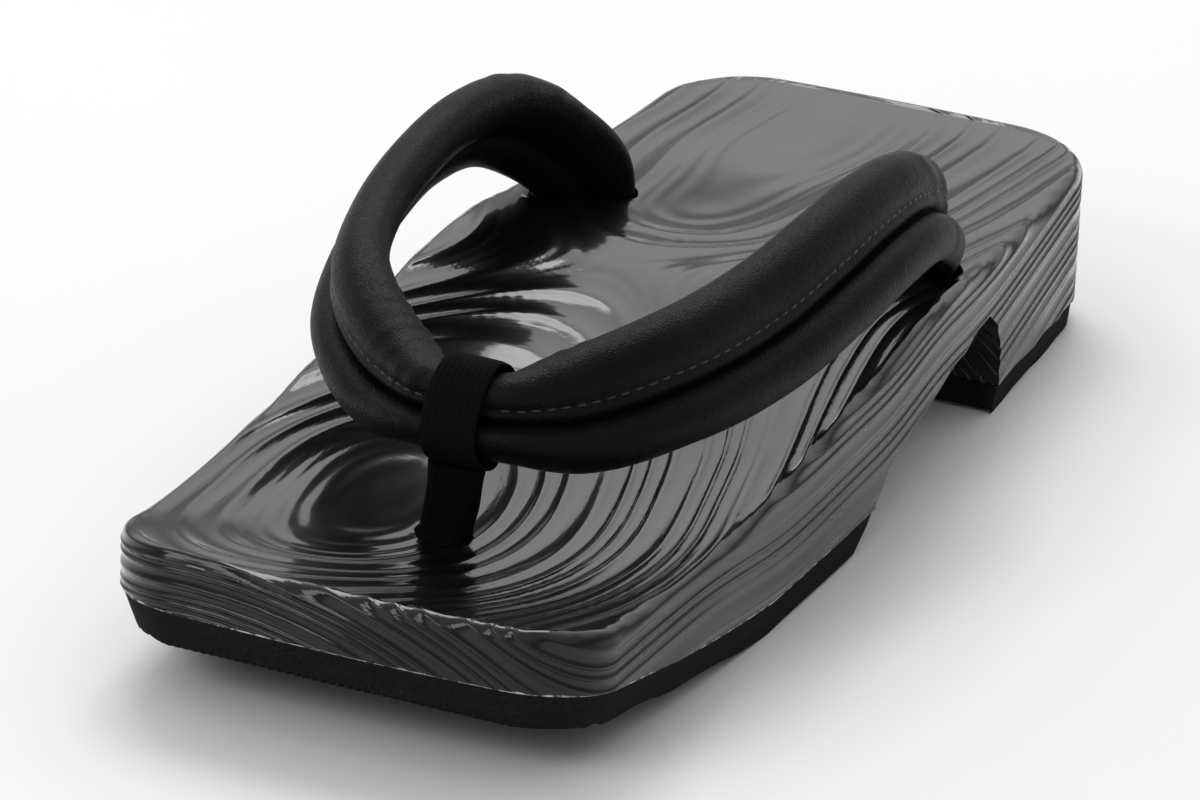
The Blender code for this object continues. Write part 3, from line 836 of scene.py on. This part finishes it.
# Creases of the leather: arm, distance from the post, place round the section in rows of the band's table,
# reach round the section in rows, depth, width, slant
CREASE_ROWS = (
    (1, 0.0085, 3.0, 2.6, 0.00050, 0.0011, 0.0006),
    (1, 0.0125, 4.2, 1.8, 0.00034, 0.0010, 0.0010),
    (1, 0.0168, 2.6, 1.8, 0.00026, 0.0011, 0.0008),
    (1, 0.0090, 10.5, 1.8, 0.00036, 0.0010, -0.0006),
    (1, 0.0140, 11.0, 1.6, 0.00024, 0.0010, -0.0006),
    (-1, 0.0085, 3.0, 2.6, 0.00055, 0.0011, 0.0007),
    (-1, 0.0128, 4.0, 1.9, 0.00040, 0.0010, 0.0012),
    (-1, 0.0172, 3.2, 1.9, 0.00030, 0.0011, 0.0012),
    (-1, 0.0215, 2.4, 1.6, 0.00024, 0.0012, 0.0010),
    (-1, 0.0090, 10.5, 1.8, 0.00036, 0.0010, -0.0006),
    (-1, 0.0150, 20.5, 2.2, 0.00040, 0.0012, 0.0006),
    (-1, 0.0195, 20.8, 2.4, 0.00046, 0.0012, 0.0008),
    (-1, 0.0240, 20.4, 2.2, 0.00036, 0.0012, 0.0008),
    (-1, 0.0290, 20.8, 2.4, 0.00040, 0.0013, 0.0010),
    (-1, 0.0345, 20.6, 2.0, 0.00028, 0.0014, 0.0010),
    (1, 0.0180, 20.6, 2.2, 0.00036, 0.0012, 0.0008),
    (1, 0.0235, 20.6, 2.2, 0.00034, 0.0013, 0.0008),
    (1, 0.1330, 4.0, 3.0, 0.00040, 0.0020, 0.0012),
    (1, 0.1420, 4.6, 3.0, 0.00044, 0.0020, 0.0012),
    (1, 0.1390, 11.0, 1.8, 0.00030, 0.0018, 0.0008),
    (-1, 0.1330, 4.0, 3.0, 0.00040, 0.0020, 0.0012),
    (-1, 0.1420, 4.6, 3.0, 0.00044, 0.0020, 0.0012),
    (-1, 0.1450, 20.0, 2.5, 0.00050, 0.0022, 0.0012),
)


def band_section(count):
    """Points round the band's section, with the place of each in rows of the table."""
    rows = np.array(BAND_ROWS)
    sizes = np.array([0.5 * BAND_WIDTH, 0.5 * BAND_THICKNESS])
    looped = np.vstack([rows, rows, rows, rows[:1]])
    length = run_lengths(looped * sizes)
    first, last = length[len(rows)], length[2 * len(rows)]
    places = np.linspace(first, last, count, endpoint=False)
    section = np.column_stack([smooth(length, looped[:, axis], places) for axis in range(2)])
    row = np.interp(places, length, np.arange(len(length))) - len(rows)
    return section, row


def crease_depth(arm, away, row):
    """Soft troughs with a low ridge on either side, where the leather folds."""
    depth = np.zeros_like(row)
    for side, place, middle, reach, deep, width, slant in CREASE_ROWS:
        if side != arm:
            continue
        turn = (row - middle + 11) % 22 - 11
        step = (away - place - slant * turn) / width
        trough = np.exp(-(step**2)) - 0.45 * np.exp(-((np.abs(step) - 1.9) ** 2))
        depth += 0.55 * deep * np.exp(-((turn / reach) ** 2)) * trough
    return depth


def band_rings():
    """Rings of points round the band from the left tail over the post to the right tail."""
    section, row = band_section(BAND_POINTS)
    run = np.roll(section, -1, axis=0) - np.roll(section, 1, axis=0)
    rings = []
    left = [(-1, *step) for step in arm_frames(-1, BAND_STEPS)[:0:-1]]
    right = [(1, *step) for step in arm_frames(1, BAND_STEPS)]
    for arm, centre, across, face, away in left + right:
        a = np.array(across)
        f = np.array(face)
        points = np.array(centre) + section[:, :1] * a + section[:, 1:] * f
        tangent = run[:, :1] * a + run[:, 1:] * f
        outward = unit_rows(np.cross(tangent, np.cross(a, f)))
        sag = 0.00005 * np.sin(away / 0.0063 + 1.3 * np.sin(away / 0.021) + 0.12 * row * arm)
        sag = sag * np.exp(-away / 0.055)
        rings.append(points + outward * (sag - crease_depth(arm, away, row))[:, None])
    return rings


def sew_strap():
    rings = band_rings()
    return make_piece("leather_strap", np.vstack(rings), capped_faces(len(rings), BAND_POINTS), 70), rings


def capsule(start, end, up, thickness, sides=8):
    """Points and faces of one stitch, thickest at its middle."""
    run = (end - start) / np.linalg.norm(end - start)
    side = np.cross(run, up)
    side /= np.linalg.norm(side)
    rise = np.cross(side, run)
    points = []
    for share, size, lift in STITCH_ROWS:
        centre = start + (end - start) * share + rise * 0.5 * thickness * lift
        for turn in full_turn(sides):
            points.append(centre + 0.5 * thickness * size * (side * math.cos(turn) + rise * math.sin(turn)))
    return points, capped_faces(len(STITCH_ROWS), sides)


def reading(place, length, rows):
    """The point or direction at a distance along a line."""
    return np.array([np.interp(place, length, rows[:, axis]) for axis in range(3)])


def joined(parts):
    """Points and faces of several parts as one list of each."""
    points, faces = [], []
    for more, extra in parts:
        start = len(points)
        points += list(more)
        faces += [tuple(start + i for i in face) for face in extra]
    return points, faces


def sew_stitches(rings):
    """The row of stitches along the foot of the large roll."""
    row = band_section(BAND_POINTS)[1]
    near = int(np.argmin(np.abs(row - STITCH_PLACE)))
    line = np.array([ring[near] for ring in rings])
    beside = np.array([ring[near + 3] - ring[near - 3] for ring in rings])
    along = np.gradient(line, axis=0)
    up = unit_rows(np.cross(along, beside))
    middle = len(line) // 2
    centre = np.array(arm_frames(1, 8)[0][0])
    if np.dot(up[middle + 40], line[middle + 40] - centre) < 0:
        up = -up
    length = run_lengths(line)
    parts = []
    for place in np.arange(STITCH_ENDS, length[-1] - STITCH_ENDS, STITCH_PITCH):
        if abs(place - length[middle]) < POST_REACH:
            continue
        ends = [reading(place, length, line), reading(place + STITCH_LENGTH, length, line)]
        parts.append(capsule(*ends, reading(place, length, up), STITCH_THICKNESS))
    return make_piece("strap_stitches", *joined(parts), 80)


def black_leather():
    """Fine grained aniline leather, satin, with a soft bloom in broad random clouds."""
    material, shader, place = new_material("black_leather", Roughness=0.36, Specular_IOR_Level=0.075)
    pores = add_node(place, "ShaderNodeTexVoronoi")
    pores.feature = "DISTANCE_TO_EDGE"
    pores.inputs["Scale"].default_value = 1500
    join(place, pores, "Vector")
    cells = spread(pores.outputs["Distance"], 0.0, 0.28, 0, 1)
    grain = noise(place, 1100, 4, 0.6)
    folds = noise(place, 190, 3, 0.55)
    cloud = noise(place, 38, 3, 0.5)
    normal = bump(cells, PORE_BUMP)
    normal = bump(grain, GRAIN_BUMP, normal)
    normal = bump(folds, FOLD_BUMP, normal)
    join(normal, shader, "Normal")
    share = spread(cloud, 0.3, 0.7, 0, 1)
    black = blend_colours(share, (0.0030, 0.0029, 0.0029), (0.0065, 0.0063, 0.0063))
    join(black, shader, "Base Color")
    join(spread(grain, 0.3, 0.7, 0.34, 0.50), shader, "Roughness")
    return material


def waxed_thread():
    material, shader, place = new_material("waxed_thread", Roughness=0.5, Sheen_Weight=0.15)
    twist = noise(place, 2600, 2, 0.5, (1, 0.4, 1))
    black = blend_colours(twist, (0.005, 0.0048, 0.0048), (0.016, 0.0155, 0.015))
    join(black, shader, "Base Color")
    join(bump(twist, 0.00008), shader, "Normal")
    return material


leather_strap, strap_rings = sew_strap()
strap_stitches = sew_stitches(strap_rings)
leather_strap.data.materials.append(black_leather())
strap_stitches.data.materials.append(waxed_thread())
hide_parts("strap")
for piece in (leather_strap, strap_stitches):
    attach(piece, "root")


# The toe post is a ribbed woven band, looped over the pinched front of the strap. Its two ends go down
# together into the board between the first two toes, and are knotted there out of sight.
LOOP_WIDTH = 0.0112
LOOP_BAND = 0.0013
STEM_WIDTH = 0.0104
STEM_DEPTH = 0.0064
STEM_FOOT = 0.0104
RIB_PITCH = 0.00118
RIB_HEIGHT = 0.00016
LOOP_SIDES = 132
STEM_SIDES = 144
STEM_CORNERS = 2.6
STEM_COLUMNS = ("rise", "wide", "deep")
STEM_ROWS = (
    (0.00, 0.98, 1.25),
    (0.10, 0.96, 1.10),
    (0.35, 1.00, 1.00),
    (0.75, 1.00, 1.00),
    (0.92, 1.04, 1.06),
    (1.00, 1.06, 1.10),
)


def ribs(x):
    """Height of the woven ribs across the band."""
    return RIB_HEIGHT * (np.abs(np.sin(math.pi * x / RIB_PITCH)) ** 0.7 - 0.6)


def loop_over(centre, across, face):
    """The band round the strap: its ribbed outer face, its edges and its plain inner face."""
    half = 0.5 * LOOP_WIDTH
    columns = np.linspace(-half, half, 84)
    strip = []
    for x in columns:
        edge = 1 - 0.30 * (abs(x) / half) ** 8
        strip.append((x, (CLEARANCE + LOOP_BAND) * edge + ribs(x)))
    strip += [(half * 0.99, CLEARANCE + 0.3 * LOOP_BAND), (half * 0.7, CLEARANCE), (-half * 0.7, CLEARANCE)]
    strip += [(-half * 0.99, CLEARANCE + 0.3 * LOOP_BAND)]
    points = []
    for turn, u, v in zip(full_turn(LOOP_SIDES), *unit_oval(BAND_CORNERS, LOOP_SIDES)):
        pull = 0.00035 * math.sin(3 * turn + 0.6)
        for x, grow in strip:
            wide = np.array(across) * (BAND_EASE + grow / across.length)
            deep = np.array(face) * (BAND_EASE + grow / face.length)
            gather = 1 - 0.05 * (0.5 - 0.5 * math.cos(turn))
            points.append(np.array(centre) + (x * gather + pull, 0, 0) + wide * u + deep * v)
    count = len(strip)
    faces = ring_faces(LOOP_SIDES, count)
    low = (LOOP_SIDES - 1) * count
    faces += [(low + i, low + (i + 1) % count, (i + 1) % count, i) for i in range(count)]
    return points, faces


def stem_below(foot, edge):
    """The two ends of the band together, from the strap down into the board."""
    shares = np.linspace(0, 1, 40)
    wide = 0.5 * STEM_WIDTH * read_table(STEM_ROWS, STEM_COLUMNS, "wide", shares)
    deep = 0.5 * STEM_DEPTH * read_table(STEM_ROWS, STEM_COLUMNS, "deep", shares)
    u, v = unit_oval(STEM_CORNERS, STEM_SIDES)
    sunk = foot - Vector((0, 0, SOCKET_DEPTH - 2 * CLEARANCE))
    plug = 0.5 * STEM_FOOT
    rings = [np.column_stack([sunk.x + plug * u, sunk.y + plug * v, np.full(STEM_SIDES, sunk.z)])]
    for i, share in enumerate(shares):
        centre = foot.lerp(edge, float(share))
        curl = 0.0004 * math.sin(3.4 * share + 0.4)
        x = centre.x + curl + wide[i] * u
        y = centre.y + (deep[i] + ribs(wide[i] * u) * (np.abs(u) < 0.93)) * v
        rings.append(np.column_stack([x, y, np.full(STEM_SIDES, centre.z)]))
    return np.vstack(rings), capped_faces(len(rings), STEM_SIDES)


def woven_band():
    """Black woven tape: soft, dull, with crossing threads over its ribs."""
    material, shader, place = new_material("woven_band", Roughness=0.90, Specular_IOR_Level=0.04)
    threads = add_node(place, "ShaderNodeTexWave")
    threads.bands_direction = "Z"
    threads.inputs["Scale"].default_value = 520
    threads.inputs["Distortion"].default_value = 1.2
    threads.inputs["Detail"].default_value = 2
    join(place, threads, "Vector")
    fuzz = noise(place, 1600, 4, 0.7)
    normal = bump(threads.outputs["Fac"], 0.00003)
    normal = bump(fuzz, 0.00018, normal)
    join(normal, shader, "Normal")
    black = blend_colours(fuzz, (0.0018, 0.0017, 0.0017), (0.0075, 0.0068, 0.0069))
    join(black, shader, "Base Color")
    return material


post_centre, post_across, post_face, _ = arm_frames(1, ARM_STEPS)[0]
post_foot = Vector((0, POST_PLACE, float(board_top(0, POST_PLACE))))
stem_top = post_centre + post_across * (BAND_EASE + (CLEARANCE + 0.5 * LOOP_BAND) / post_across.length)
parts = [loop_over(post_centre, post_across, post_face), stem_below(post_foot, stem_top)]
ribbed_post = make_piece("ribbed_post", *joined(parts), 80, merge=1e-7)
ribbed_post.data.materials.append(woven_band())
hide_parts("toe_post")
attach(ribbed_post, "root")


# The tie is hemp cord of three twisted strands. It comes down both holes from the strap's tails, is knotted
# in the middle under the waist, and one frayed end is left sticking out to the side.
TIE_CORD = 0.0048
TIE_DROP = 0.0030
TIE_REACH = 0.0160
KNOT_WIDTH = 0.0160
KNOT_HEIGHT = 0.0090
LOOSE_END = 0.0420
STRAND_TURN = 0.0105
FRAY_HAIRS = 46

# One side of the tie from the knot to its hole: share of the holes' spread, share of its reach, depth in cords
TIE_ROWS = (
    (0.60, 0.60, 1.0),
    (0.94, 0.15, 0.0),
)

# The loose end from the knot, over its own length: across, along, up
LOOSE_ROWS = (
    (0.00, 0.00, 0.00),
    (0.45, -0.10, -0.02),
    (0.80, -0.24, -0.05),
    (1.00, -0.30, -0.10),
)


def curve_through(points, count):
    """Evenly spaced points on a smooth line through a few."""
    points = np.array([tuple(point) for point in points])
    length = run_lengths(points)
    places = np.linspace(0, length[-1], count)
    return np.column_stack([smooth(length, points[:, axis], places) for axis in range(3)])


def directions_across(line):
    """Two directions across a line at each of its points, which turn as little as they can."""
    run = unit_rows(np.gradient(line, axis=0))
    side = np.cross(run[0], (0.13, 0.24, 0.96))
    sides = []
    for along in run:
        side = side - along * np.dot(side, along)
        side /= np.linalg.norm(side)
        sides.append(side)
    return np.array(sides), np.cross(run, sides)


def tube(line, sizes, sides):
    """Points and faces of a round tube along a line."""
    points = []
    for centre, side, other, size in zip(line, *directions_across(line), np.broadcast_to(sizes, len(line))):
        for turn in full_turn(sides):
            points.append(centre + size * (side * math.cos(turn) + other * math.sin(turn)))
    return points, capped_faces(len(line), sides)


def strands(line, radius, spread_end=0.0):
    """Three strands twisted round a line, opening out at its end if asked."""
    length = run_lengths(line)
    sides, others = directions_across(line)
    made = []
    for strand in range(3):
        turn = 2 * math.pi * (length / STRAND_TURN + strand / 3)
        away = radius * (0.5 + spread_end * np.clip(length / length[-1] * 4 - 3, 0, 1))
        offset = away[:, None] * (sides * np.cos(turn)[:, None] + others * np.sin(turn)[:, None])
        made.append(tube(line + offset, 0.52 * radius, 12))
    return made


def hemp():
    material, shader, place = new_material("hemp", Roughness=0.9, Sheen_Weight=0.2)
    fibres = noise(place, 1400, 4, 0.7, (0.35, 1, 1))
    patches = noise(place, 160, 3, 0.5)
    tone = math_node("MULTIPLY", fibres, spread(patches, 0.3, 0.7, 0.6, 1.3))
    tan = blend_colours(tone, (0.16, 0.105, 0.052), (0.56, 0.43, 0.26))
    join(tan, shader, "Base Color")
    join(bump(fibres, 0.0003), shader, "Normal")
    return material


level = WAIST_RISE - TIE_DROP
tail = arm_frames(1, ARM_STEPS)[-1]
down = tail[1].cross(tail[2]).normalized()
down = -down if down.z > 0 else down
tail_end = tail[0] + down * CLEARANCE
knot_place = Vector((0, HOLE_PLACE - TIE_REACH, level - 0.5 * KNOT_HEIGHT))
arm = [knot_place + Vector((0.25 * KNOT_WIDTH, 0, 0))]
for out, ahead, below in TIE_ROWS:
    arm.append(Vector((HOLE_SPREAD * out, HOLE_PLACE - TIE_REACH * ahead, level - TIE_CORD * below)))
arm += [Vector((HOLE_SPREAD, HOLE_PLACE, WAIST_RISE)), tail_end + down * 0.6 * TIE_CORD, tail_end]
parts = []
for side in (-1, 1):
    half_route = [Vector((side * point.x, point.y, point.z)) for point in arm]
    parts += strands(curve_through(half_route, 90), 0.46 * TIE_CORD)
for place, size, tilt in ((-0.32, 0.86, 0.5), (0.0, 1.0, -0.35), (0.32, 0.86, 0.4)):
    turns = np.linspace(0, 2 * math.pi, 49)
    radius = 0.5 * (KNOT_HEIGHT - 0.8 * TIE_CORD) * size
    wrap = np.column_stack([
        knot_place.x + KNOT_WIDTH * place * 0.8 + tilt * radius * 0.6 * np.sin(turns),
        knot_place.y + radius * np.cos(turns),
        knot_place.z + radius * np.sin(turns),
    ])
    parts += strands(wrap, 0.36 * TIE_CORD)
hemp_tie = make_piece("hemp_tie", *joined(parts), 80, merge=1e-8)
hemp_material = hemp()
hemp_tie.data.materials.append(hemp_material)
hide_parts("rear_tie")
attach(hemp_tie, "root")

loose_line = curve_through([knot_place + LOOSE_END * Vector(row) for row in LOOSE_ROWS], 60)
parts = strands(loose_line, 0.46 * TIE_CORD, 0.35)
draw = np.random.default_rng(7)
end_run = loose_line[-1] - loose_line[-4]
end_run /= np.linalg.norm(end_run)
for hair in range(FRAY_HAIRS):
    root = loose_line[-6] + draw.normal(0, 0.0011, 3)
    bend = draw.normal(0, 0.0012, 3)
    reach = draw.uniform(0.0035, 0.0065)
    hair_line = np.array([root + end_run * reach * t + bend * t**2 for t in np.linspace(0, 1, 6)])
    parts.append(tube(hair_line, 0.00013 * np.linspace(1, 0.5, 6), 4))
tie_end = make_piece("tie_end", *joined(parts), 80, merge=1e-8)
tie_end.data.materials.append(hemp_material)
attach(tie_end, "root")


# The floor is a plain pale sheet under soft studio light, brightest from behind and above.
FLOOR_SIZE = 6.0


def pale_floor():
    material, shader, place = new_material("pale_floor", Roughness=0.75, Specular_IOR_Level=0.2)
    mottle = noise(place, 6, 3, 0.5)
    pale = blend_colours(mottle, (0.775, 0.775, 0.765), (0.80, 0.80, 0.79))
    join(pale, shader, "Base Color")
    return material


corners = [(FLOOR_SIZE * x, FLOOR_SIZE * y, 0) for x, y in ((-1, -1), (1, -1), (1, 1), (-1, 1))]
studio_floor = make_piece("studio_floor", corners, [(0, 1, 2, 3)])
studio_floor.data.materials.append(pale_floor())

world = bpy.data.worlds.new("studio")
bpy.context.scene.world = world
world.use_nodes = True
nodes = world.node_tree.nodes
direction = nodes.new("ShaderNodeTexCoord").outputs["Generated"]
split = nodes.new("ShaderNodeSeparateXYZ")
join(direction, split, 0)
# Brightness of the studio by how high one looks, from the horizon to overhead, all round and towards the back
SKY_COLUMNS = ("height", "round", "back")
SKY_ROWS = (
    (0.00, 1.00, 0.95),
    (0.08, 0.80, 0.50),
    (0.22, 0.45, 0.36),
    (0.28, 0.40, 0.75),
    (0.36, 0.38, 1.60),
    (0.50, 0.45, 2.30),
    (0.62, 0.80, 2.50),
    (0.86, 0.95, 2.50),
    (0.95, 0.95, 1.30),
)
SKY_STRENGTH = 0.76
BACK_WAY = (-0.40, 0.92, 0.0)


def sky_ramp(height, name):
    ramp = add_node(height, "ShaderNodeValToRGB")
    join(height, ramp, 0)
    steps = ramp.color_ramp.elements
    steps.remove(steps[1])
    places = column(SKY_ROWS, SKY_COLUMNS, "height")
    values = column(SKY_ROWS, SKY_COLUMNS, name)
    for place in places[1:]:
        steps.new(place)
    for step, place, value in zip(steps, places, values):
        step.position = place
        step.color = (value, value, 1.01 * value, 1)
    return ramp.outputs[0]


way = nodes.new("ShaderNodeVectorMath")
way.operation = "DOT_PRODUCT"
join(direction, way, 0)
way.inputs[1].default_value = BACK_WAY
towards_back = spread(way.outputs["Value"], 0.10, 0.80, 0.0, 1.0)
height = split.outputs["Z"]
around, behind = sky_ramp(height, "round"), sky_ramp(height, "back")
join(blend_colours(towards_back, around, behind), nodes["Background"], "Color")
nodes["Background"].inputs["Strength"].default_value = SKY_STRENGTH
bpy.context.scene.view_settings.view_transform = "Standard"


def soft_light(name, place, aim, size, power):
    light = bpy.data.lights.new(name, "AREA")
    light.shape = "RECTANGLE"
    light.size, light.size_y = size
    light.energy = power
    lamp = bpy.data.objects.new(name, light)
    bpy.context.scene.collection.objects.link(lamp)
    lamp.location = place
    lamp.rotation_euler = (Vector(aim) - Vector(place)).to_track_quat("-Z", "Y").to_euler()


soft_light("top_light", (-0.45, 0.85, 1.50), (0, 0, 0.02), (0.9, 0.7), 11.5)
soft_light("front_light", (-0.50, -1.10, 0.85), (0, -0.05, 0.02), (0.9, 0.5), 5.0)

CAMERA_PLACE = (0.50816, -1.17129, 0.57237)
CAMERA_TURN = (66.4931, -2.1254, 24.6905)
CAMERA_LENS = 216.4
camera = bpy.data.objects.new("camera", bpy.data.cameras.new("camera"))
bpy.context.scene.collection.objects.link(camera)
camera.location = CAMERA_PLACE
camera.rotation_euler = [math.radians(angle) for angle in CAMERA_TURN]
camera.data.sensor_width = 36
camera.data.lens = CAMERA_LENS
camera.data.clip_start = 0.05
camera.data.clip_end = 20
bpy.context.scene.camera = camera
